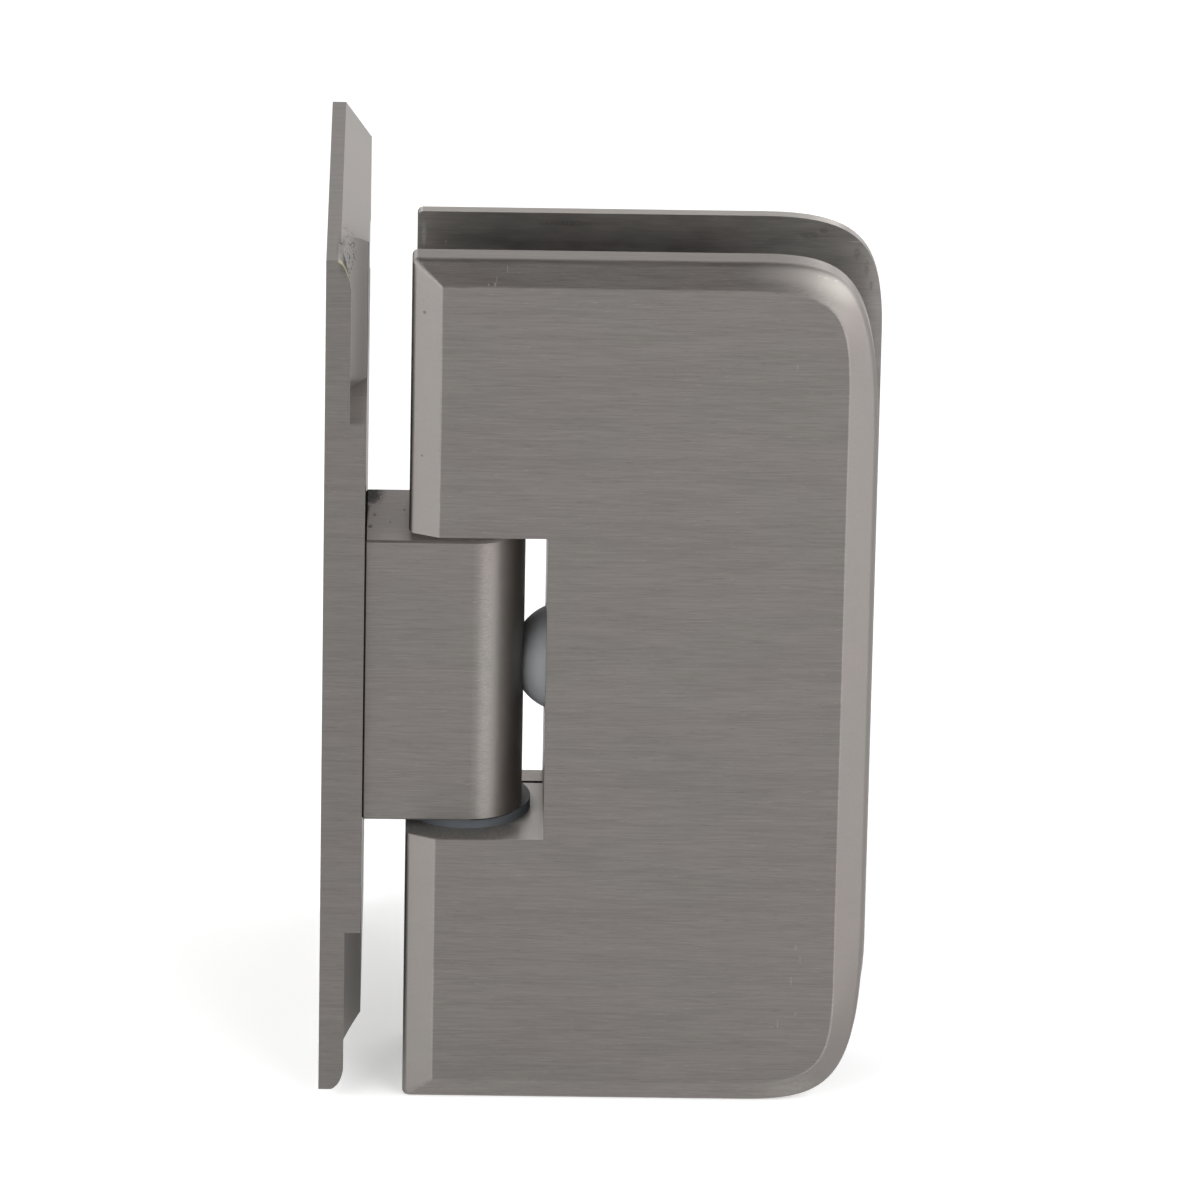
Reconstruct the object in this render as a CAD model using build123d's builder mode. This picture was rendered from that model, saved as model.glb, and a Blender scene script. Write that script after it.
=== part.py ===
"""Wall-to-glass shower door hinge with an offset wall plate.

X runs from the wall face towards the door, Y points into the depth of the
wall plate, Z is up. The pin axis is vertical, at Y = 0. Millimetres.
"""

import os

from build123d import *

# Height of the glass clamp, and width from the wall face to its outer side
height = 90.0
width = 55.7

# Wall plate, flat against the wall at X = 0. Its middle is a little above the knuckle's.
plate_height = 89.0
plate_middle_z = 0.5
plate_thickness = 4.1
plate_depth = 50.0
plate_near_y = -8.9
plate_bevel_width = 2.8
plate_bevel_depth = 2.7

# Hollow grooves at both ends of the wall plate, which let the clamp swing past
groove_floor = 1.55
groove_radius = 15.3
groove_centre_y = -3.6
groove_start = 27.3

# Soft ends of the near edge beside the grooves: where they start, their width and heights
near_round_start = 1.1
near_round_width = 1.45
near_round_upper_height = 4.5
near_round_lower_height = 3.0

# Countersunk holes for the screws into the wall
wall_hole_radius = 2.75
wall_hole_sink_radius = 5.5
wall_hole_spacing_y = 16.0
wall_hole_spacing_z = 60.0
wall_hole_margin_y = 7.6

# Knuckle block, screwed to the wall plate from the wall side
knuckle_end_x = 20.2
knuckle_thickness = 15.0
knuckle_height = 30.0
knuckle_corner_radius = 5.2
knuckle_edge_break = 0.2
knuckle_screw_spacing = 18.0
knuckle_screw_length = 9.6

# Hinge pin, bushes and washers
pin_x = 14.5
pin_radius = 3.0
pin_length = 52.0
pin_chamfer = 0.5
pin_fit_clearance = 0.02
pin_running_clearance = 0.05
pin_hole_clearance = 0.4
bush_wall = 1.0
bush_length = 10.0
upper_washer_radius = 5.8
lower_washer_radius = 6.6
washer_bore_clearance = 0.2
washer_thickness = 1.1
washer_play = 0.05

# Glass clamp: front plate with its core block, and the rear plate
body_left_x = 8.5
body_thickness = 19.0
inner_corner_radius = 0.6
front_plate_thickness = 4.4
front_bevel_depth = 1.5
front_bevel_side_width = 3.0
front_bevel_end_width = 2.45
front_bevel_round = 0.4
front_shoulder_round = 0.8
face_corner_radius = 0.15
rear_plate_thickness = 3.0
rear_bevel_width = 2.5
rear_bevel_depth = 1.5
rear_plate_inset = 0.45
front_plate_setback = 0.7

# Outer corners: each is one curve, longer down the side than along the top.
# Reach is how far it starts from the corner, pull how far it holds its direction.
front_corner_top_reach = 12.0
front_corner_top_pull = 9.2
front_corner_side_reach = 20.5
front_corner_side_pull = 18.5
face_corner_top_reach = 11.0
face_corner_top_pull = 9.3
face_corner_side_reach = 10.0
face_corner_side_pull = 8.5
rear_corner_reach = 12.0
rear_corner_pull = 9.4

# Notch around the knuckle
notch_wall_x = 22.4

# Core block, which fills the cut-out in the glass
core_end_x = 38.0
core_half_height = 29.5
core_corner_radius = 3.0
core_rear_gap = 0.6

# Gaskets on both sides of the glass
glass_thickness = 10.0
gasket_margin = 4.5
gasket_core_gap = 0.5
gasket_corner_radius = 6.0

# Detent buffer, an elastic plug with a domed nose
buffer_radius = 5.6
buffer_centre_x = 24.6
buffer_length = 10.0
buffer_bore_clearance = 0.1
buffer_dimple_clearance = 0.3

# Countersunk screws with a hexagon socket
screw_radius = 2.5
screw_head_radius = 4.7
screw_socket_width = 3.0
screw_socket_depth = 1.6
screw_hole_clearance = 0.3
thread_clearance = 0.05
clamp_screw_x = 30.0
clamp_screw_spacing = 40.0
clamp_screw_length = 12.5
screw_tip_chamfer = 0.5
bore_end_room = 0.5

# Grub screws that lock the pin in the two arms of the clamp
grub_radius = 2.0
grub_from_pin_end = 4.0
grub_socket_width = 2.0
grub_socket_depth = 1.4

# Values that follow from the sizes above
half_height = height / 2
plate_far_y = plate_near_y + plate_depth
wall_hole_centre_y = plate_far_y - wall_hole_margin_y - wall_hole_spacing_y / 2
knuckle_half_height = knuckle_height / 2
notch_half_height = knuckle_half_height + washer_thickness + washer_play
bush_outer_radius = pin_radius + pin_running_clearance + bush_wall
pin_half_length = pin_length / 2
body_half_thickness = body_thickness / 2
front_right_x = width - front_plate_setback
front_face_y = -body_half_thickness
front_shoulder_y = front_face_y + front_bevel_depth
front_inner_y = front_face_y + front_plate_thickness
rear_inner_y = body_half_thickness - rear_plate_thickness
core_rear_y = rear_inner_y - core_rear_gap
gasket_thickness = (rear_inner_y - front_inner_y - glass_thickness) / 2
screw_head_depth = screw_head_radius - screw_radius
knuckle_bore_depth = knuckle_screw_length - plate_thickness + bore_end_room
grub_spacing = pin_length - 2 * grub_from_pin_end
grub_length = pin_x - pin_radius - pin_fit_clearance - body_left_x
cut_margin = 1.0

# Planes that holes and screws start from, each with its normal pointing out of the metal
door_face_plane = Plane((plate_thickness, 0, 0), x_dir=(0, 1, 0), z_dir=(1, 0, 0))
wall_face_plane = Plane((0, 0, 0), x_dir=(0, -1, 0), z_dir=(-1, 0, 0))
arm_face_plane = Plane((body_left_x, 0, 0), x_dir=(0, -1, 0), z_dir=(-1, 0, 0))
clamp_screw_plane = Plane((clamp_screw_x, body_half_thickness, 0), x_dir=(-1, 0, 0), z_dir=(0, 1, 0))


def glass_plane(y):
    """Plane across the glass at the given depth, drawn in X and Z, facing the front."""
    return Plane((0, y, 0), x_dir=(1, 0, 0), z_dir=(0, -1, 0))


def clamp_outline(left_x, right_x, top_z, top_reach, top_pull, side_reach, side_pull):
    """Outline of the clamp: square corners on the pin side, soft ones outside."""
    with BuildSketch() as outline:
        with BuildLine():
            left = Line((left_x, top_z), (left_x, 0))
            Line((left_x, 0), (right_x, 0))
            side = Line((right_x, 0), (right_x, top_z - side_reach))
            corner = Bezier(
                side @ 1,
                (right_x, top_z - side_reach + side_pull),
                (right_x - top_reach + top_pull, top_z),
                (right_x - top_reach, top_z),
            )
            Line(corner @ 1, left @ 0)
        make_face()
        mirror(about=Plane.XZ)
    return outline.sketch


def front_outline(y):
    """Outer outline of the front plate, at the given depth."""
    with BuildSketch(glass_plane(y)) as outline:
        add(
            clamp_outline(
                body_left_x,
                front_right_x,
                half_height,
                front_corner_top_reach,
                front_corner_top_pull,
                front_corner_side_reach,
                front_corner_side_pull,
            )
        )
        fillet(outline.vertices().group_by(Axis.X)[0], inner_corner_radius)
    return outline.sketch


def front_face_outline():
    """Outline of the flat front face, inside the bevel, which is widest at the outer corners."""
    with BuildSketch(glass_plane(front_face_y)) as outline:
        add(
            clamp_outline(
                body_left_x + front_bevel_side_width,
                front_right_x - front_bevel_side_width,
                half_height - front_bevel_end_width,
                face_corner_top_reach,
                face_corner_top_pull,
                face_corner_side_reach,
                face_corner_side_pull,
            )
        )
        fillet(outline.vertices().group_by(Axis.X)[0], face_corner_radius)
    return outline.sketch


def gasket_outline():
    """Outline of a gasket: a C that runs around the core block."""
    left_x = body_left_x + gasket_margin
    right_x = front_right_x - gasket_margin
    with BuildSketch() as outline:
        with Locations((left_x, 0)):
            Rectangle(right_x - left_x, height - 2 * gasket_margin, align=(Align.MIN, Align.CENTER))
        fillet(outline.vertices().group_by(Axis.X)[-1], gasket_corner_radius)
        with Locations((core_end_x + gasket_core_gap, 0)):
            Rectangle(
                core_end_x,
                2 * (core_half_height + gasket_core_gap),
                align=(Align.MAX, Align.CENTER),
                mode=Mode.SUBTRACT,
            )
    return outline.sketch


def notch():
    """Room for the knuckle, open towards the wall and through both plates."""
    with BuildPart() as room:
        with Locations((notch_wall_x, 0, 0)):
            Box(
                notch_wall_x - body_left_x + cut_margin,
                body_thickness + 2 * cut_margin,
                2 * notch_half_height,
                align=(Align.MAX, Align.CENTER, Align.CENTER),
            )
    return room.part


def countersunk_screw(length):
    """Screw with its flat head at Z = 0 and its shank pointing down."""
    with BuildPart() as screw:
        with BuildSketch():
            Circle(screw_radius)
        extrude(amount=-length)
        chamfer(screw.edges().sort_by(Axis.Z)[0], screw_tip_chamfer)
        with BuildSketch():
            Circle(screw_head_radius)
        extrude(amount=-screw_head_depth, taper=45)
        with BuildSketch():
            RegularPolygon(screw_socket_width / 2, 6, major_radius=False)
        extrude(amount=-screw_socket_depth, mode=Mode.SUBTRACT)
    return screw.part


def grub_screw():
    """Headless screw with its socket at Z = 0 and its tip pointing down."""
    with BuildPart() as grub:
        with BuildSketch():
            Circle(grub_radius)
        extrude(amount=-grub_length)
        chamfer(grub.edges().sort_by(Axis.Z)[0], screw_tip_chamfer)
        with BuildSketch():
            RegularPolygon(grub_socket_width / 2, 6, major_radius=False)
        extrude(amount=-grub_socket_depth, mode=Mode.SUBTRACT)
    return grub.part


def place_pair(piece, plane, spacing, name):
    """Write two copies of a screw, above and below the middle of a plane."""
    for label, offset in (("upper", spacing / 2), ("lower", -spacing / 2)):
        seat = Plane(plane.origin + Vector(0, 0, offset), x_dir=plane.x_dir, z_dir=plane.z_dir)
        finish(seat.location * piece, f"{name}_{label}")


def finish(piece, name):
    """Label a finished piece and write it to its own file."""
    piece.label = name
    export_step(piece, f"parts/{name}.step")


os.makedirs("parts", exist_ok=True)

# Wall plate: bevelled on three sides, square along the near edge
with BuildPart() as wall_plate:
    with BuildSketch(Plane.YZ):
        with Locations((plate_near_y, plate_middle_z)):
            Rectangle(plate_depth, plate_height, align=(Align.MIN, Align.CENTER))
    extrude(amount=plate_thickness)
    door_face = wall_plate.faces().sort_by(Axis.X)[-1]
    bevel_edges = door_face.edges().sort_by(Axis.Y)[1:]
    chamfer(bevel_edges, plate_bevel_width, plate_bevel_depth, reference=door_face)
    for side, round_height in ((1, near_round_upper_height), (-1, near_round_lower_height)):
        groove_end = (0, 0, plate_middle_z + side * groove_start)
        with BuildSketch(Plane(groove_end, x_dir=(1, 0, 0), z_dir=(0, 0, side))):
            with Locations((groove_floor + groove_radius, side * groove_centre_y)):
                Circle(groove_radius)
        extrude(amount=plate_height / 2, mode=Mode.SUBTRACT)
        round_z = plate_middle_z + side * (plate_height / 2 - round_height)
        with BuildSketch(glass_plane(plate_near_y)):
            with Locations((near_round_start, round_z)):
                Rectangle(
                    plate_thickness,
                    round_height,
                    align=(Align.MIN, Align.MIN if side > 0 else Align.MAX),
                )
                Ellipse(near_round_width, round_height, mode=Mode.SUBTRACT)
        extrude(amount=plate_near_y - groove_centre_y, mode=Mode.SUBTRACT)
    with Locations(door_face_plane):
        with Locations((wall_hole_centre_y, plate_middle_z)):
            with GridLocations(wall_hole_spacing_y, wall_hole_spacing_z, 2, 2):
                CounterSinkHole(wall_hole_radius, wall_hole_sink_radius, counter_sink_angle=90)
    with Locations(wall_face_plane):
        with GridLocations(0, knuckle_screw_spacing, 1, 2):
            CounterSinkHole(
                screw_radius + screw_hole_clearance,
                screw_head_radius + screw_hole_clearance,
                counter_sink_angle=90,
            )
finish(wall_plate.part, "wall_plate")

# Knuckle: a block with two round corners, bored for the bushes and dimpled for the buffer
with BuildPart() as knuckle:
    with BuildSketch(Plane.XY.offset(-knuckle_half_height)) as knuckle_section:
        with Locations((plate_thickness, 0)):
            Rectangle(
                knuckle_end_x - plate_thickness,
                knuckle_thickness,
                align=(Align.MIN, Align.CENTER),
            )
        fillet(knuckle_section.vertices().group_by(Axis.X)[-1], knuckle_corner_radius)
    extrude(amount=knuckle_height)
    end_faces = knuckle.faces().filter_by(Axis.Z)
    wall_edges = knuckle.edges().filter_by(Axis.Z).group_by(Axis.X)[0]
    chamfer([*end_faces.edges(), *wall_edges], knuckle_edge_break)
    with Locations((pin_x, 0, knuckle_half_height)):
        Hole(pin_radius + pin_hole_clearance)
        Hole(bush_outer_radius + pin_fit_clearance, depth=bush_length)
    with Locations(Location((pin_x, 0, -knuckle_half_height), (180, 0, 0))):
        Hole(bush_outer_radius + pin_fit_clearance, depth=bush_length)
    with Locations((buffer_centre_x, 0, 0)):
        Sphere(buffer_radius + buffer_dimple_clearance, mode=Mode.SUBTRACT)
    with Locations(-door_face_plane):
        with GridLocations(0, knuckle_screw_spacing, 1, 2):
            Hole(screw_radius + thread_clearance, depth=knuckle_bore_depth)
finish(knuckle.part, "knuckle")

# Screws that hold the knuckle, put in from the wall side
knuckle_screw = countersunk_screw(knuckle_screw_length)
place_pair(knuckle_screw, wall_face_plane, knuckle_screw_spacing, "knuckle_screw")

# Hinge pin, locked in the arms of the clamp
with BuildPart() as hinge_pin:
    with Locations((pin_x, 0, 0)):
        Cylinder(pin_radius, pin_length)
    chamfer(hinge_pin.edges().filter_by(GeomType.CIRCLE), pin_chamfer)
finish(hinge_pin.part, "hinge_pin")

# Bushes in the two ends of the knuckle
with BuildPart() as upper_bush:
    with BuildSketch(Plane((pin_x, 0, knuckle_half_height))):
        Circle(bush_outer_radius)
        Circle(pin_radius + pin_running_clearance, mode=Mode.SUBTRACT)
    extrude(amount=-bush_length)
finish(upper_bush.part, "upper_bush")
finish(mirror(upper_bush.part, about=Plane.XY), "lower_bush")

# Washers: the upper one lies on the knuckle, the lower one on the lower arm
for washer_name, washer_radius, washer_z in (
    ("upper_washer", upper_washer_radius, knuckle_half_height),
    ("lower_washer", lower_washer_radius, -notch_half_height),
):
    with BuildPart() as washer:
        with BuildSketch(Plane((pin_x, 0, washer_z))):
            Circle(washer_radius)
            Circle(pin_radius + washer_bore_clearance, mode=Mode.SUBTRACT)
        extrude(amount=washer_thickness)
    finish(washer.part, washer_name)

# Front plate and core block, one casting
with BuildPart() as front_plate:
    extrude(front_outline(front_inner_y), amount=front_inner_y - front_shoulder_y)
    loft([front_outline(front_shoulder_y), front_face_outline()], ruled=True)
    # Edges by depth: the front face, the slopes of the bevel, then the shoulder
    fillet(front_plate.edges().group_by(Axis.Y)[2], front_shoulder_round)
    fillet(front_plate.faces().sort_by(Axis.Y)[0].edges(), front_bevel_round)
    with BuildSketch(glass_plane(front_inner_y)) as core_section:
        with Locations((body_left_x, 0)):
            Rectangle(
                core_end_x - body_left_x,
                2 * core_half_height,
                align=(Align.MIN, Align.CENTER),
            )
        fillet(core_section.vertices().group_by(Axis.X)[-1], core_corner_radius)
    extrude(amount=front_inner_y - core_rear_y)
    add(notch(), mode=Mode.SUBTRACT)
    # Bore for the pin: closed in the upper arm, open below
    with BuildSketch(Plane((pin_x, 0, pin_half_length + bore_end_room))):
        Circle(pin_radius + pin_fit_clearance)
    extrude(amount=-height, mode=Mode.SUBTRACT)
    # Bore for the buffer, from the notch wall
    with BuildSketch(Plane((buffer_centre_x + buffer_length, 0, 0), z_dir=(-1, 0, 0))):
        Circle(buffer_radius + buffer_bore_clearance)
    extrude(amount=buffer_centre_x + buffer_length - notch_wall_x, mode=Mode.SUBTRACT)
    # Threaded holes for the clamp screws, from behind, and for the grub screws
    with BuildSketch(clamp_screw_plane):
        with GridLocations(0, clamp_screw_spacing, 1, 2):
            Circle(screw_radius + thread_clearance)
    extrude(amount=-clamp_screw_length - bore_end_room, mode=Mode.SUBTRACT)
    with BuildSketch(arm_face_plane):
        with GridLocations(0, grub_spacing, 1, 2):
            Circle(grub_radius + thread_clearance)
    extrude(amount=-grub_length - pin_radius, mode=Mode.SUBTRACT)
finish(front_plate.part, "front_plate")

# Rear plate, screwed to the core block from behind
with BuildPart() as rear_plate:
    with BuildSketch(glass_plane(rear_inner_y)):
        add(
            clamp_outline(
                body_left_x + rear_plate_inset,
                width,
                half_height,
                rear_corner_reach,
                rear_corner_pull,
                rear_corner_reach,
                rear_corner_pull,
            )
        )
    extrude(amount=-rear_plate_thickness)
    rear_face = rear_plate.faces().sort_by(Axis.Y)[-1]
    chamfer(rear_face.edges(), rear_bevel_width, rear_bevel_depth, reference=rear_face)
    fillet(rear_plate.edges().filter_by(Axis.Y).group_by(Axis.X)[0], inner_corner_radius)
    add(notch(), mode=Mode.SUBTRACT)
    with Locations(clamp_screw_plane):
        with GridLocations(0, clamp_screw_spacing, 1, 2):
            CounterSinkHole(
                screw_radius + screw_hole_clearance,
                screw_head_radius + screw_hole_clearance,
                counter_sink_angle=90,
            )
finish(rear_plate.part, "rear_plate")

# Gaskets on both sides of the glass
with BuildPart() as front_gasket:
    with BuildSketch(glass_plane(front_inner_y)):
        add(gasket_outline())
    extrude(amount=-gasket_thickness)
finish(front_gasket.part, "front_gasket")
with BuildPart() as rear_gasket:
    with BuildSketch(glass_plane(rear_inner_y)):
        add(gasket_outline())
    extrude(amount=gasket_thickness)
finish(rear_gasket.part, "rear_gasket")

# Screws of the clamp and the grub screws on the pin
place_pair(countersunk_screw(clamp_screw_length), clamp_screw_plane, clamp_screw_spacing, "clamp_screw")
place_pair(grub_screw(), arm_face_plane, grub_spacing, "pin_grub_screw")

# Detent buffer: its dome stands out of the notch wall into the dimple of the knuckle
with BuildPart() as detent_buffer:
    with BuildSketch(Plane((buffer_centre_x, 0, 0), z_dir=(1, 0, 0))):
        Circle(buffer_radius)
    extrude(amount=buffer_length)
    with Locations((buffer_centre_x, 0, 0)):
        Sphere(buffer_radius)
finish(detent_buffer.part, "detent_buffer")
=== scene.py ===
"""Studio picture of the shower door hinge: finishes, buffer, floor, light and camera.

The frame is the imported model, in metres: X from the wall to the door, Y into
the depth of the wall plate, Z up, with the pin axis upright at Y = 0.
"""

from math import cos, pi, radians, sin

import bpy
from mathutils import Matrix, Vector


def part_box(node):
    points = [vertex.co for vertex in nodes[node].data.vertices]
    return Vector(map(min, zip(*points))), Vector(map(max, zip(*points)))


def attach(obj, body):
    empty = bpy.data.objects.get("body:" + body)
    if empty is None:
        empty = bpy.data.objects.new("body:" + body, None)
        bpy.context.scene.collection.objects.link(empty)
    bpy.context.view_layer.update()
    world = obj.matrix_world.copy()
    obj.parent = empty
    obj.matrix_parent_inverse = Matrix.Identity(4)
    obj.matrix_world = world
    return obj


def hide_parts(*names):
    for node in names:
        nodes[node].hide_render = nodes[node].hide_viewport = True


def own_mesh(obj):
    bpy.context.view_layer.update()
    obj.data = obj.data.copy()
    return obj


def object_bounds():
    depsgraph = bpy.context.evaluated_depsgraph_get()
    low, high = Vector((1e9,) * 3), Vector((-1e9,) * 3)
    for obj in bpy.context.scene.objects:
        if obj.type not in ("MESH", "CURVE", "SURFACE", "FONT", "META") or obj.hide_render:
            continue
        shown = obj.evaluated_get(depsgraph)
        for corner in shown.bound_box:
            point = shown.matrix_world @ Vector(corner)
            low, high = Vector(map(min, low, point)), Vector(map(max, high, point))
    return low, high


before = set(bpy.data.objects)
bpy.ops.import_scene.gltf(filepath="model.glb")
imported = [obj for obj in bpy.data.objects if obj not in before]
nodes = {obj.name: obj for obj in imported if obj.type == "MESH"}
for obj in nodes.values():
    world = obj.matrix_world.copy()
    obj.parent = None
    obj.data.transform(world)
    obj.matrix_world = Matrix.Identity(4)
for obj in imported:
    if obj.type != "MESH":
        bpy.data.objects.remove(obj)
cad_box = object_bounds()
mm = 0.001

# Camera, as in the photograph
camera_turn = radians(-0.99)
camera_height_angle = radians(20.81)
camera_roll = radians(1.11)
camera_distance = 1.0884
camera_aim = Vector((27.8, 0.0, 6.14)) * mm
focal_length_pixels = 10808
picture_pixels = 1200
sensor_width = 36.0

# Room light: level at the horizon in front and behind, and overhead
front_level = 0.74
back_level = 2.3
overhead_level = 0.18

# Where those levels change, as the height and the depth of the direction that is looked in
overhead_start = 0.2
overhead_end = 0.68
back_start = -0.3
back_end = 0.6

# Softboxes: where they stand and how tall they are, in metres
softbox_height = 0.32
softbox_distance = 0.8
softbox_tall = 0.8

# One on each side of the camera: name, turn from the front, width and radiance
softboxes = (
    ("softbox_left", radians(-55), 0.95, 2.9),
    ("softbox_right", radians(52), 1.0, 3.05),
)

# Floor, and the share of white that it shows on its own to the lens and in reflections
floor_size = 8
floor_colour = (0.8, 0.8, 0.8)
floor_lift = 0.42

# Nickel, and what marks it: dirt, scratches and wear, and painted light, shade and highlights
nickel_colour = (0.214, 0.198, 0.187)
nickel_pink = (0.217, 0.198, 0.188)
nickel_green = (0.21, 0.198, 0.185)
# Painted highlight colour for the bevel round the top-right corner
painted_highlight_colour = (0.42, 0.395, 0.37)
# Dark grime, also used for painted shade and painted shadow
grime_and_shade_colour = (0.045, 0.04, 0.036)
soot_colour = (0.012, 0.011, 0.01)
scratch_colour = (0.62, 0.6, 0.56)
# Worn brass, lightened so that it also stands for the rounded edge's painted highlight
brass_and_highlight_colour = (0.6, 0.56, 0.38)
# Painted light for faces inside the grooves, inside the notch and on the rear plate's outer rim
painted_light_colour = (0.6, 0.575, 0.55)

# Nickel: roughness at both ends of the grain, stretch of its highlights, size of its patches
nickel_roughness = (0.45, 0.55)
nickel_stretch = 0.8
patch_grain = (14.0, 8.0, 9.0)

# How much of a face's direction makes it a sideways face or a ledge: start and end of the change
sideways = (0.3, 0.42)
upwards = (0.85, 0.97)

# Levels between which noise changes a finish: nearly all of it, and its middle
noise_spread = (0.3, 0.7)
noise_middle = (0.35, 0.65)

# Brush lines: length and width of each layer in millimetres, and its share
brush_layers = ((2.6, 0.09, 0.45), (6.0, 0.22, 0.3), (15.0, 1.1, 0.25))

# Their darkest and lightest level, their relief, and how far they fade on sideways faces
brush_darkest = 0.87
brush_lightest = 1.17
brush_depth = 0.004
side_fade = 0.75

# Light and dark strokes: colour, where they start and are full in the noise, and their share
stroke_grain = (1.3, 0.1, 0.1)
stroke_layers = ((scratch_colour, 0.66, 0.78, 0.16), (grime_and_shade_colour, 0.36, 0.24, 0.28))

# Ragged edges of the marks: grain in millimetres, and the levels of noise that tear them
torn_grain = (0.22, 0.5, 0.22)
torn_spread = (0.36, 0.6)

# Steel: colour, its two tones, roughness, and grain and relief in millimetres
steel_colour = (0.3, 0.29, 0.28)
steel_dark = (0.25, 0.245, 0.24)
steel_light = (0.36, 0.35, 0.34)
steel_roughness = (0.26, 0.38)
steel_grain = (0.12, 0.12, 0.6)
steel_depth = 0.002

# Plastics: grain of their tone and of their skin, relief in millimetres, and each one's tones
cloud_grain = (3.0, 3.0, 3.0)
plastic_grain = (0.12, 0.12, 0.12)
plastic_depth = 0.003
washer_tones = ((0.062, 0.07, 0.08), (0.07, 0.079, 0.089))
gasket_tones = ((0.42, 0.44, 0.45), (0.46, 0.48, 0.49))
buffer_tones = ((0.22, 0.23, 0.237), (0.24, 0.25, 0.258))

# Pits in the upper groove: spacing, relief, and where they lie, in millimetres
pit_spacing = 0.42
pit_depth = 3.0
pit_place = ((2.0, -0.5, 42.5), (1.3, 6.0, 3.6), 0.7)

# Grooves of the wall plate: its face towards the door, and the heights between which their
# painted light grows, so that they are darker towards the bottom
plate_face_x = 4.1
groove_light_z = (-30, 30)

# Soft upper end of the plate's near edge, an ellipse in X and Z, in millimetres
near_end_centre = (1.1, 0, 40.5)
near_end_size = (1.45, 1e6, 4.5)

# Notch around the knuckle, in millimetres
notch_wall_x = 22.4
notch_half_height = 16.15

# Buffer: depth of its tapered base edge and rim of its base face in millimetres, and its facets
buffer_edge_depth = 0.5
buffer_base_rim = 1.2
buffer_segments = 72
buffer_rings = 48
smooth_angle = radians(35)


def add_camera():
    """Long lens, a little above the hinge and square to its front."""
    back = Vector(
        (
            sin(camera_turn) * cos(camera_height_angle),
            -cos(camera_turn) * cos(camera_height_angle),
            sin(camera_height_angle),
        )
    )
    right = Vector((cos(camera_turn), sin(camera_turn), 0.0))
    up = back.cross(right)
    rolled_right = cos(camera_roll) * right + sin(camera_roll) * up
    rolled_up = -sin(camera_roll) * right + cos(camera_roll) * up
    lens = bpy.data.cameras.new("camera")
    lens.sensor_width = sensor_width
    lens.lens = sensor_width * focal_length_pixels / picture_pixels
    lens.clip_start = 0.01
    lens.clip_end = 50
    camera = bpy.data.objects.new("camera", lens)
    turn = Matrix((rolled_right, rolled_up, back)).transposed().to_4x4()
    camera.matrix_world = Matrix.Translation(camera_aim + back * camera_distance) @ turn
    bpy.context.scene.collection.objects.link(camera)
    bpy.context.scene.camera = camera


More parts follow.
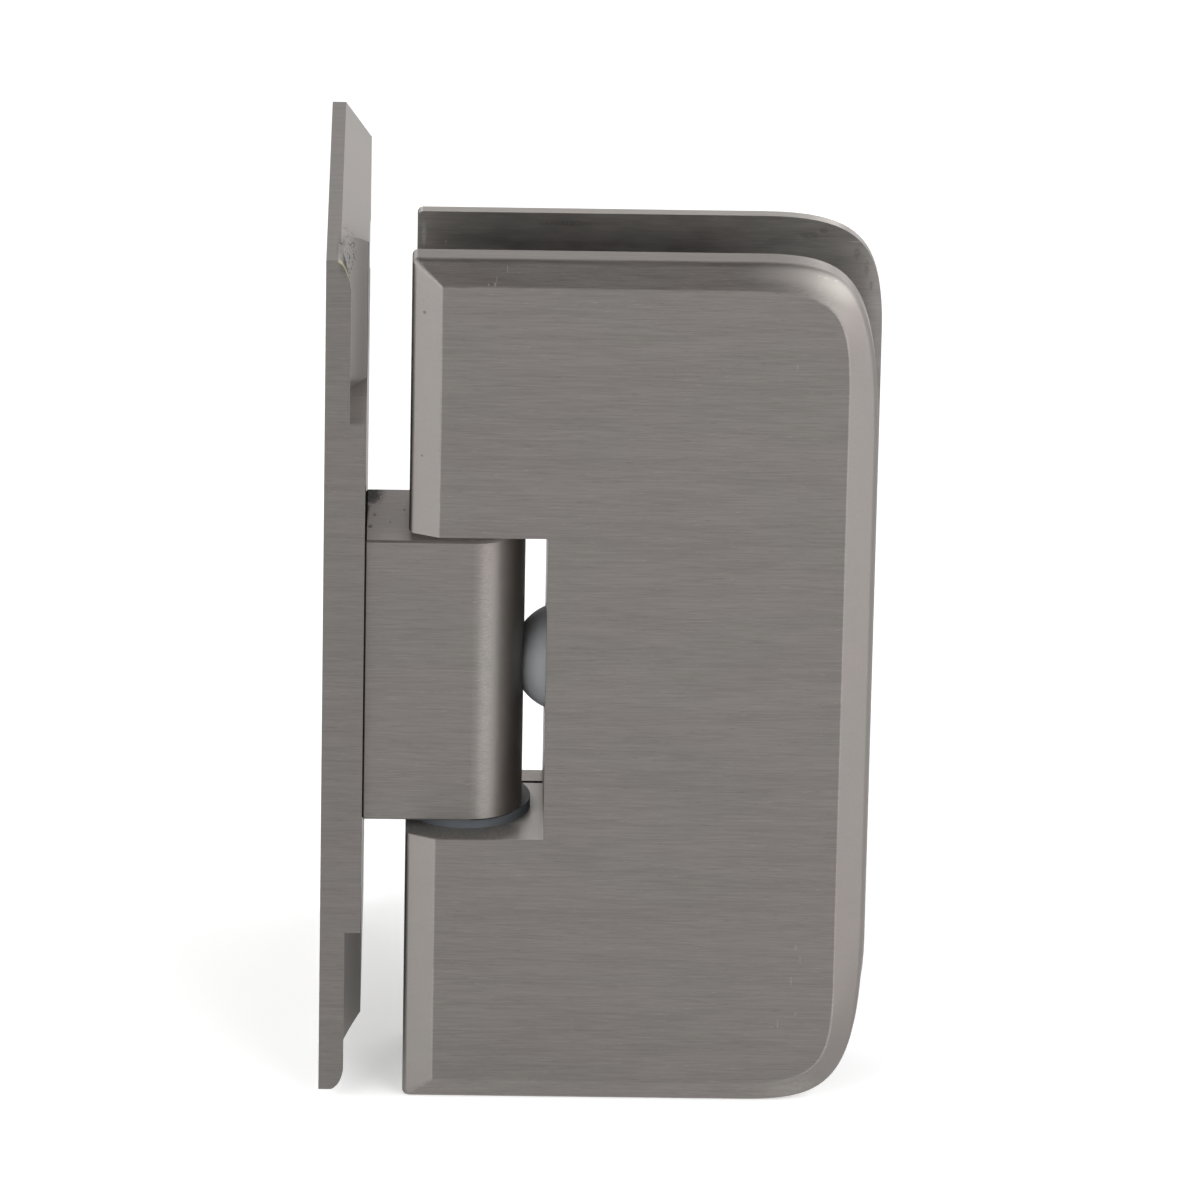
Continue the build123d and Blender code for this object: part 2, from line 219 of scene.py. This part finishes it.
class Finish:
    """A node material, built up around its surface shader. Sizes are in millimetres."""

    def __init__(self, name, colour, metallic, roughness):
        self.material = bpy.data.materials.new(name)
        self.material.use_nodes = True
        self.tree = self.material.node_tree
        self.surface = self.tree.nodes["Principled BSDF"]
        self.surface.inputs["Metallic"].default_value = metallic
        self.surface.inputs["Roughness"].default_value = roughness
        self.surface.inputs["Base Color"].default_value = (*colour, 1)
        coordinates = self.tree.nodes.new("ShaderNodeTexCoord")
        self.place = coordinates.outputs["Object"]
        self.normal = coordinates.outputs["Normal"]

    def wire(self, kind, inputs, output=0, **settings):
        """Adds a node, fills its inputs from values or other outputs, and gives one output."""
        node = self.tree.nodes.new(kind)
        for key, setting in settings.items():
            setattr(node, key, setting)
        for key, value in inputs.items():
            if isinstance(value, bpy.types.NodeSocket):
                self.tree.links.new(value, node.inputs[key])
            else:
                node.inputs[key].default_value = value
        return node.outputs[output]

    def math(self, operation, first, second=0.0):
        """One arithmetic step."""
        return self.wire("ShaderNodeMath", {0: first, 1: second}, operation=operation)

    def ramp(self, value, start, end, low=0.0, high=1.0):
        """Smooth change from low to high as the value goes from start to end."""
        return self.wire(
            "ShaderNodeMapRange",
            {
                "Value": value,
                "From Min": start,
                "From Max": end,
                "To Min": low,
                "To Max": high,
            },
            interpolation_type="SMOOTHSTEP",
        )

    def axis(self, vector, name):
        """One component of a vector."""
        return self.wire("ShaderNodeSeparateXYZ", {0: vector}, output=name)

    def along(self, name, start, end, low=0.0, high=1.0):
        """Smooth change along one axis, from start to end in millimetres."""
        return self.ramp(self.axis(self.place, name), start * mm, end * mm, low, high)

    def reach(self, centre, size):
        """How far the place lies from a centre, in half sizes: one on the ellipsoid."""
        offset = self.wire(
            "ShaderNodeVectorMath",
            {0: self.place, 1: [value * mm for value in centre]},
            operation="SUBTRACT",
        )
        scaled = self.wire(
            "ShaderNodeVectorMath",
            {0: offset, 1: [1 / (value * mm) for value in size]},
            operation="MULTIPLY",
        )
        return self.wire(
            "ShaderNodeVectorMath", {0: scaled}, output="Value", operation="LENGTH"
        )

    def noise(self, grain, detail=2.0, shift=(0, 0, 0)):
        """Noise with a grain of the given size along each axis."""
        stretched = self.wire(
            "ShaderNodeMapping",
            {
                "Vector": self.place,
                "Location": shift,
                "Scale": [1 / (size * mm) for size in grain],
            },
        )
        return self.wire(
            "ShaderNodeTexNoise", {"Vector": stretched, "Scale": 1.0, "Detail": detail}
        )

    def spot(self, centre, size, edge=0.4):
        """Soft spot around a point, one inside and zero outside its half sizes."""
        return self.ramp(self.reach(centre, size), 1.0, edge)

    def either(self, masks):
        """The strongest of several masks."""
        strongest = masks[0]
        for mask in masks[1:]:
            strongest = self.math("MAXIMUM", strongest, mask)
        return strongest

    def tint(self, colour, other, share):
        """Mixes two colours; share is how much of the other one shows."""
        return self.wire(
            "ShaderNodeMix",
            {0: share, 6: colour, 7: other},
            output=2,
            data_type="RGBA",
        )

    def finish(self, colour, roughness, height, depth):
        """Joins the colour, roughness and relief to the surface."""
        relief = self.wire(
            "ShaderNodeBump", {"Height": height, "Distance": depth * mm, "Strength": 1.0}
        )
        self.tree.links.new(colour, self.surface.inputs["Base Color"])
        self.tree.links.new(roughness, self.surface.inputs["Roughness"])
        self.tree.links.new(relief, self.surface.inputs["Normal"])
        return self.material


def brushed_grain(finish, side):
    """Brush lines along X, which fade on the faces that look sideways."""
    grain = 0.0
    for length, width, share in brush_layers:
        lines = finish.noise((length, width, width), detail=1.0)
        grain = finish.math("ADD", grain, finish.math("MULTIPLY", lines, share))
    faded = finish.math("MULTIPLY", side, side_fade)
    return finish.wire("ShaderNodeMix", {0: faded, 2: grain, 3: 0.5}, data_type="FLOAT")


def nickel_finish(name, marks=(), shade=1.0, painted_ledge_gain=1.0, skin=None):
    """Brushed nickel: brush lines, faint tint patches, strokes and its own marks.

    Each mark is a colour, how much of it shows, how ragged it is and its spots; some marks are
    dirt or scratches, others painted shade or painted highlight.
    Shade is a painted level of light for the whole piece, so the pieces are lit and shaded copies
    of one nickel; the ledge factor is how much lighter its faces that look up are painted, a
    painted highlight;
    and skin is a function that adds what only this piece has, which is mostly painted light and
    shade.
    """
    finish = Finish(name, nickel_colour, 1.0, 0.5)
    finish.surface.inputs["Anisotropic"].default_value = nickel_stretch
    across = finish.wire("ShaderNodeCombineXYZ", {"X": 0.0, "Y": 0.7, "Z": 0.7})
    finish.tree.links.new(across, finish.surface.inputs["Tangent"])
    side = finish.math("ABSOLUTE", finish.axis(finish.normal, "X"))
    side = finish.ramp(side, *sideways)
    grain = brushed_grain(finish, side)
    patches = finish.ramp(finish.noise(patch_grain, detail=1.0), *noise_middle)
    colour = finish.tint((*nickel_pink, 1), (*nickel_green, 1), patches)
    # The piece's shade sets a painted level of light for all of it
    level = finish.ramp(grain, *noise_spread, brush_darkest * shade, brush_lightest * shade)
    # Faces that look up are painted lighter, a painted highlight on the ledges
    painted_ledge_light = finish.ramp(finish.axis(finish.normal, "Z"), *upwards, 1.0, painted_ledge_gain)
    level = finish.math("MULTIPLY", level, painted_ledge_light)
    colour = finish.wire("ShaderNodeVectorMath", {0: colour, "Scale": level}, operation="SCALE")
    flat = finish.math("SUBTRACT", 1.0, side)
    dashes = finish.noise(stroke_grain, detail=1.0, shift=(5, 2, 9))
    for tone, start, end, share in stroke_layers:
        strokes = finish.math("MULTIPLY", finish.ramp(dashes, start, end, 0.0, share), flat)
        colour = finish.tint(colour, (*tone, 1), strokes)
    roughness = finish.ramp(grain, 0.25, 0.75, *nickel_roughness)
    height = grain
    # The piece's own layer: mostly painted light and shade, with pits and worn brass on the wall
    # plate
    if skin:
        colour, height = skin(finish, colour, height)
    for mark_colour, share, ragged, spots in marks:
        shape = finish.either([finish.spot(*spot) for spot in spots])
        torn = finish.noise(torn_grain, detail=4.0, shift=(1, 7, 4))
        torn = finish.ramp(torn, *torn_spread, 1.0 - ragged, 1.0)
        shape = finish.math("MULTIPLY", finish.math("MULTIPLY", shape, torn), share)
        colour = finish.tint(colour, (*mark_colour, 1), shape)
    return finish.finish(colour, roughness, height, brush_depth)


def groove_painted_light_and_wear(finish, colour, height):
    """Painted light on the plate's grooves, fading to painted shade towards the bottom, with
    small pits, and a worn brass rim lightened into a painted highlight.
    """
    facing_door = finish.ramp(finish.axis(finish.normal, "X"), 0.5, 0.7)
    level = finish.ramp(finish.axis(finish.normal, "Z"), 0.4, 0.2)
    below_face = finish.along("X", plate_face_x - 0.01, plate_face_x - 0.1)
    # Where the painted light goes: groove faces that look towards the door, below that face,
    # weaker towards the bottom
    skin = finish.math("MULTIPLY", finish.math("MULTIPLY", facing_door, level), below_face)
    lit = finish.along("Z", *groove_light_z, 0.1, 1.0)
    colour = finish.tint(colour, (*painted_light_colour, 1), finish.math("MULTIPLY", skin, lit))
    cells = finish.wire(
        "ShaderNodeTexVoronoi", {"Vector": finish.place, "Scale": 1 / (pit_spacing * mm)}
    )
    sparse = finish.ramp(finish.noise((0.9, 0.9, 0.9), shift=(3, 1, 2)), 0.4, 0.5)
    pits = finish.math("MULTIPLY", finish.ramp(cells, 0.36, 0.22), sparse)
    pits = finish.math("MULTIPLY", pits, finish.spot(*pit_place))
    colour = finish.tint(colour, (*soot_colour, 1), finish.math("MULTIPLY", pits, 0.85))
    height = finish.math("SUBTRACT", height, finish.math("MULTIPLY", pits, pit_depth))
    # Worn brass on the rim, lightened into the edge's painted highlight
    rim = finish.ramp(finish.reach(near_end_centre, near_end_size), 0.92, 0.97)
    near = finish.along("Y", -8.7, -8.85)
    ends = finish.math("MULTIPLY", finish.along("Z", 42.7, 44.1), finish.along("X", 1.0, 1.4))
    worn_and_highlit = finish.math("MULTIPLY", finish.math("MULTIPLY", rim, near), ends)
    return finish.tint(colour, (*brass_and_highlight_colour, 1), worn_and_highlit), height


def notch_painted_light(finish, colour, height):
    """Painted light on the faces inside the notch, against the shade that falls there."""
    x = finish.along("X", notch_wall_x + 0.5, notch_wall_x + 0.2)
    z = finish.math("ABSOLUTE", finish.axis(finish.place, "Z"))
    z = finish.ramp(z, (notch_half_height + 0.25) * mm, (notch_half_height + 0.05) * mm)
    inside = finish.ramp(finish.axis(finish.normal, "Y"), -0.7, -0.5)
    inside = finish.math("MULTIPLY", finish.math("MULTIPLY", x, z), inside)
    return finish.tint(colour, (*painted_light_colour, 1), inside), height


def rear_inside_painted_shade(finish, colour, height):
    """Painted shade on the inner face of the rear plate: dark in the middle, lighter near its
    edges, with painted light on its outer rim.
    """
    # Painted shade: darkest in the middle of the inner face, away from its edges and its top
    inside = finish.ramp(finish.axis(finish.normal, "Y"), -0.8, -0.95)
    left = finish.along("X", 9.6, 19, 0.15, 1.0)
    right = finish.along("X", 34, 50, 1.0, 0.0)
    z = finish.math("ABSOLUTE", finish.axis(finish.place, "Z"))
    top = finish.ramp(z, 44.3 * mm, 41.5 * mm, 0.35, 1.0)
    dark = finish.math("MULTIPLY", finish.math("MULTIPLY", left, right), top)
    cloud = finish.ramp(finish.noise((5.0, 3.0, 1.6)), 0.4, 0.65, 0.0, 0.12)
    dark = finish.math("ADD", finish.math("MULTIPLY", dark, 0.5), cloud)
    # Painted highlight along the outer edge of the inner face
    rim = finish.along("X", 53.2, 55.3, 0.07, 0.3)
    colour = finish.tint(colour, (*painted_light_colour, 1), finish.math("MULTIPLY", inside, rim))
    return finish.tint(colour, (*grime_and_shade_colour, 1), finish.math("MULTIPLY", dark, inside)), height


def steel_finish():
    """Turned steel of the screws and the pin."""
    finish = Finish("turned_steel", steel_colour, 1.0, 0.3)
    turned = finish.noise(steel_grain)
    colour = finish.tint((*steel_dark, 1), (*steel_light, 1), turned)
    roughness = finish.ramp(turned, *noise_spread, *steel_roughness)
    return finish.finish(colour, roughness, turned, steel_depth)


def plastic_finish(name, colour, other, roughness):
    """Moulded plastic with a faint cloudy tone and a fine matt skin."""
    finish = Finish(name, colour, 0.0, roughness)
    cloud = finish.ramp(finish.noise(cloud_grain), *noise_middle)
    skin = finish.noise(plastic_grain)
    toned = finish.tint((*colour, 1), (*other, 1), cloud)
    spread = finish.ramp(skin, *noise_spread, roughness - 0.05, roughness + 0.06)
    return finish.finish(toned, spread, skin, plastic_depth)


def pick(piece, kind, test):
    """Enters edit mode with only those vertices or edges selected that pass the test."""
    bpy.context.view_layer.objects.active = piece
    bpy.ops.object.mode_set(mode="EDIT")
    bpy.ops.mesh.select_mode(type=kind)
    bpy.ops.mesh.select_all(action="DESELECT")
    bpy.ops.object.mode_set(mode="OBJECT")
    for part in {"VERT": piece.data.vertices, "EDGE": piece.data.edges}[kind]:
        part.select = test(part)
    bpy.ops.object.mode_set(mode="EDIT")


def buffer_piece():
    """Domed plug: half a ball on a round shank, which goes into the notch wall."""
    low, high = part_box("detent_buffer")
    radius = (high.y - low.y) / 2
    middle = low.x + radius
    slack = 0.01 * mm
    bpy.ops.object.select_all(action="DESELECT")
    bpy.ops.mesh.primitive_uv_sphere_add(
        segments=buffer_segments,
        ring_count=buffer_rings,
        radius=radius,
        location=(middle, 0, 0),
        rotation=(0, -pi / 2, 0),
    )
    piece = bpy.context.object
    piece.name = "buffer_plug"
    bpy.ops.object.transform_apply(location=True, rotation=True, scale=True)
    pick(piece, "VERT", lambda vertex: vertex.co.x > middle + slack)
    bpy.ops.mesh.delete(type="VERT")
    bpy.ops.object.mode_set(mode="OBJECT")
    rim = {vertex.index for vertex in piece.data.vertices if vertex.co.x > middle - slack}
    pick(piece, "EDGE", lambda edge: rim.issuperset(edge.vertices))
    edge_depth = buffer_edge_depth * mm
    bpy.ops.mesh.extrude_region_move(
        TRANSFORM_OT_translate={"value": (high.x - middle - edge_depth, 0, 0)}
    )
    bpy.ops.mesh.extrude_region_move(TRANSFORM_OT_translate={"value": (edge_depth, 0, 0)})
    narrow = 1 - edge_depth / radius
    bpy.ops.transform.resize(value=(1, narrow, narrow))
    bpy.ops.mesh.edge_face_add()
    bpy.ops.mesh.inset(thickness=buffer_base_rim * mm)
    bpy.ops.mesh.select_all(action="SELECT")
    bpy.ops.mesh.normals_make_consistent(inside=False)
    bpy.ops.object.mode_set(mode="OBJECT")
    bpy.ops.object.shade_smooth_by_angle(angle=smooth_angle)
    return piece


def add_floor():
    """Wide pale floor under the hinge, which keeps its shadow."""
    bpy.ops.object.select_all(action="DESELECT")
    bpy.ops.mesh.primitive_plane_add(size=floor_size, location=(0, 0, cad_box[0][2]))
    floor = bpy.context.object
    floor.name = "floor"
    paper = Finish("floor_paper", floor_colour, 0.0, 1.0)
    paper.surface.inputs["Specular IOR Level"].default_value = 0.0
    rays = paper.tree.nodes.new("ShaderNodeLightPath")
    seen = paper.math("ADD", rays.outputs["Is Camera Ray"], rays.outputs["Is Glossy Ray"])
    seen = paper.math("ADD", seen, rays.outputs["Is Transmission Ray"])
    lift = paper.math("MULTIPLY", paper.math("MINIMUM", seen, 1.0), floor_lift)
    paper.surface.inputs["Emission Color"].default_value = (1, 1, 1, 1)
    paper.tree.links.new(lift, paper.surface.inputs["Emission Strength"])
    floor.data.materials.append(paper.material)


def add_softbox(name, turn, width, radiance):
    """Rectangular lamp at a compass turn from the front, facing the hinge."""
    lamp = bpy.data.lights.new(name, "AREA")
    lamp.shape = "RECTANGLE"
    lamp.size = width
    lamp.size_y = softbox_tall
    lamp.energy = pi * width * softbox_tall * radiance
    place = Vector((softbox_distance * sin(turn), -softbox_distance * cos(turn), softbox_height))
    softbox = bpy.data.objects.new(name, lamp)
    facing = (-place).to_track_quat("-Z", "Y").to_matrix().to_4x4()
    softbox.matrix_world = Matrix.Translation(place) @ facing
    softbox.visible_camera = False
    bpy.context.scene.collection.objects.link(softbox)


def add_light():
    """Pale room, darker overhead and lighter behind, with a softbox on each side."""
    world = bpy.data.worlds.new("room")
    world.use_nodes = True
    bpy.context.scene.world = world
    tree = world.node_tree
    place = tree.nodes.new("ShaderNodeTexCoord")
    split = tree.nodes.new("ShaderNodeSeparateXYZ")
    tree.links.new(place.outputs["Generated"], split.inputs[0])
    levels = []
    for axis, start, end, low, high in (
        ("Z", overhead_start, overhead_end, 1.0, overhead_level),
        ("Y", back_start, back_end, front_level, back_level),
    ):
        ramp = tree.nodes.new("ShaderNodeMapRange")
        ramp.interpolation_type = "SMOOTHSTEP"
        ramp.inputs["From Min"].default_value = start
        ramp.inputs["From Max"].default_value = end
        ramp.inputs["To Min"].default_value = low
        ramp.inputs["To Max"].default_value = high
        tree.links.new(split.outputs[axis], ramp.inputs["Value"])
        levels.append(ramp.outputs[0])
    level = tree.nodes.new("ShaderNodeMath")
    level.operation = "MULTIPLY"
    tree.links.new(levels[0], level.inputs[0])
    tree.links.new(levels[1], level.inputs[1])
    background = tree.nodes["Background"]
    background.inputs["Color"].default_value = (1, 1, 1, 1)
    tree.links.new(level.outputs[0], background.inputs["Strength"])
    for softbox in softboxes:
        add_softbox(*softbox)
    bpy.context.scene.view_settings.view_transform = "Standard"


add_camera()
add_floor()
add_light()

# Marks: spots as centre and half sizes in millimetres, some with how soft their edge is
# Painted shadow at the upper end of the groove, with some dirt in it
groove_end_shadow_and_dirt = [
    ((1.9, -5.6, 44.6), (1.1, 6.0, 2.0)),
]
front_scratches = [
    ((48.1, -9.5, -27.5), (0.16, 0.3, 0.45)),
    ((48.55, -9.5, -28.9), (0.1, 0.3, 0.6)),
    ((47.7, -9.5, -31.2), (0.12, 0.3, 0.7)),
    ((48.2, -9.5, -34.8), (0.14, 0.3, 0.25)),
    ((46.45, -9.5, -36.0), (0.12, 0.3, 0.8)),
    ((46.75, -9.5, 34.65), (0.1, 0.3, 0.4)),
    ((48.2, -9.5, 32.0), (0.1, 0.3, 0.2)),
]
bevel_scratches = [
    ((16.7, -9.25, 42.8), (0.16, 0.3, 0.3)),
    ((16.85, -8.95, 43.2), (0.08, 0.4, 0.5)),
    ((16.05, -9.25, 42.8), (0.12, 0.3, 0.15)),
    ((17.9, -8.3, 44.0), (0.07, 0.5, 0.7)),
]
front_specks = [
    ((9.8, -8.55, 39.6), (0.28, 0.3, 0.25)),
    ((9.7, -8.5, 40.8), (0.12, 0.2, 0.1)),
    ((9.7, -8.55, 24.5), (0.16, 0.3, 0.16)),
]
ledge_shade = [
    ((13.6, -6.6, -16.0), (7.9, 5.9, 0.4), 0.75),
    ((14.5, 0.0, -16.0), (8.2, 8.7, 0.4), 0.85),
]
# Painted highlight on the bevel round the top-right corner
corner_painted_highlight = [
    ((47.3, -8.3, 42.9), (8.5, 1.1, 3.8), 0.2),
]
corner_scratches = [
    ((49.4, -8.2, 43.6), (0.4, 0.7, 0.09)),
    ((50.4, -8.2, 43.3), (0.3, 0.7, 0.09)),
    ((48.7, -8.2, 43.8), (0.2, 0.7, 0.07)),
]
rear_smears = [
    ((48.2, 6.5, 43.0), (1.3, 0.5, 0.5)),
    ((49.6, 6.5, 43.5), (0.6, 0.5, 0.4)),
    ((53.0, 6.5, 41.2), (0.4, 0.5, 0.9)),
    ((54.0, 6.5, 39.6), (0.35, 0.5, 1.1)),
    ((54.5, 6.5, 37.8), (0.25, 0.5, 0.7)),
    ((24.0, 6.5, 43.9), (4.5, 0.5, 0.3)),
]
rear_specks = [
    ((9.6, 6.5, 42.6), (0.3, 0.5, 1.6)),
    ((11.8, 6.5, 41.8), (0.12, 0.5, 0.3)),
    ((11.4, 6.5, 40.4), (0.1, 0.5, 0.18)),
    ((52.9, 6.5, 42.4), (0.9, 0.5, 0.14)),
]
knuckle_smudge = [
    ((4.65, 5.7, 15.0), (1.1, 3.0, 0.8)),
]
# Dirt halo round the smudge; its second spot darkens the corner along the seam with the plate,
# painted shade
knuckle_halo_and_seam_shade = [
    ((4.8, 6.0, 15.0), (1.5, 4.0, 0.8)),
    ((4.3, 3.5, 15.0), (0.5, 3.2, 0.6)),
]
# The first spot darkens the corner along the seam with the plate, painted shade; the others are
# specks of dirt
knuckle_specks_and_seam_shade = [
    ((4.1, 2.0, 15.0), (0.5, 6.5, 0.5)),
    ((8.0, 1.42, 15.0), (0.16, 0.55, 0.3)),
    ((6.6, -2.1, 15.0), (0.12, 0.35, 0.3)),
    ((4.6, -3.4, 15.0), (0.3, 0.7, 0.3)),
    ((5.0, 0.0, 15.0), (0.25, 0.6, 0.3)),
]

# Each piece has its own painted level of light and a painted highlight on its ledges: lit and
# shaded copies of one nickel
nickel_of_node = {
    "wall_plate": nickel_finish(
        "brushed_nickel_plate",
        marks=((grime_and_shade_colour, 0.6, 0.4, groove_end_shadow_and_dirt),),
        shade=0.93,
        painted_ledge_gain=1.7,
        skin=groove_painted_light_and_wear,
    ),
    "knuckle": nickel_finish(
        "brushed_nickel_knuckle",
        marks=(
            (soot_colour, 1.0, 0.25, knuckle_smudge),
            (grime_and_shade_colour, 0.85, 1.0, knuckle_halo_and_seam_shade),
            (grime_and_shade_colour, 0.8, 0.6, knuckle_specks_and_seam_shade),
        ),
        painted_ledge_gain=1.7,
    ),
    "front_plate": nickel_finish(
        "brushed_nickel_front",
        marks=(
            (scratch_colour, 0.16, 0.8, front_scratches),
            (painted_highlight_colour, 0.75, 0.0, corner_painted_highlight),
            (scratch_colour, 0.45, 0.6, bevel_scratches + corner_scratches),
            (grime_and_shade_colour, 0.7, 0.5, front_specks),
            (grime_and_shade_colour, 0.6, 0.15, ledge_shade),
        ),
        painted_ledge_gain=1.6,
        skin=notch_painted_light,
    ),
    "rear_plate": nickel_finish(
        "brushed_nickel_rear",
        marks=(
            (grime_and_shade_colour, 0.3, 0.8, rear_smears),
            (scratch_colour, 0.3, 0.6, rear_specks),
        ),
        shade=1.12,
        painted_ledge_gain=2.1,
        skin=rear_inside_painted_shade,
    ),
}
turned_steel = steel_finish()
washer_nylon = plastic_finish("washer_nylon", *washer_tones, 0.6)
gasket_vinyl = plastic_finish("gasket_vinyl", *gasket_tones, 0.5)
buffer_skin = plastic_finish("buffer_skin", *buffer_tones, 0.7)

finish_of_node = {
    **nickel_of_node,
    **dict.fromkeys([name for name in nodes if "screw" in name or "pin" in name], turned_steel),
    **dict.fromkeys([name for name in nodes if "bush" in name or "washer" in name], washer_nylon),
    **dict.fromkeys([name for name in nodes if "gasket" in name], gasket_vinyl),
}
for name, finish in finish_of_node.items():
    for material_slot in nodes[name].material_slots:
        material_slot.material = finish

buffer_plug = buffer_piece()
buffer_plug.data.materials.append(buffer_skin)
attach(buffer_plug, "door_clamp")
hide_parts("detent_buffer")
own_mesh(buffer_plug)
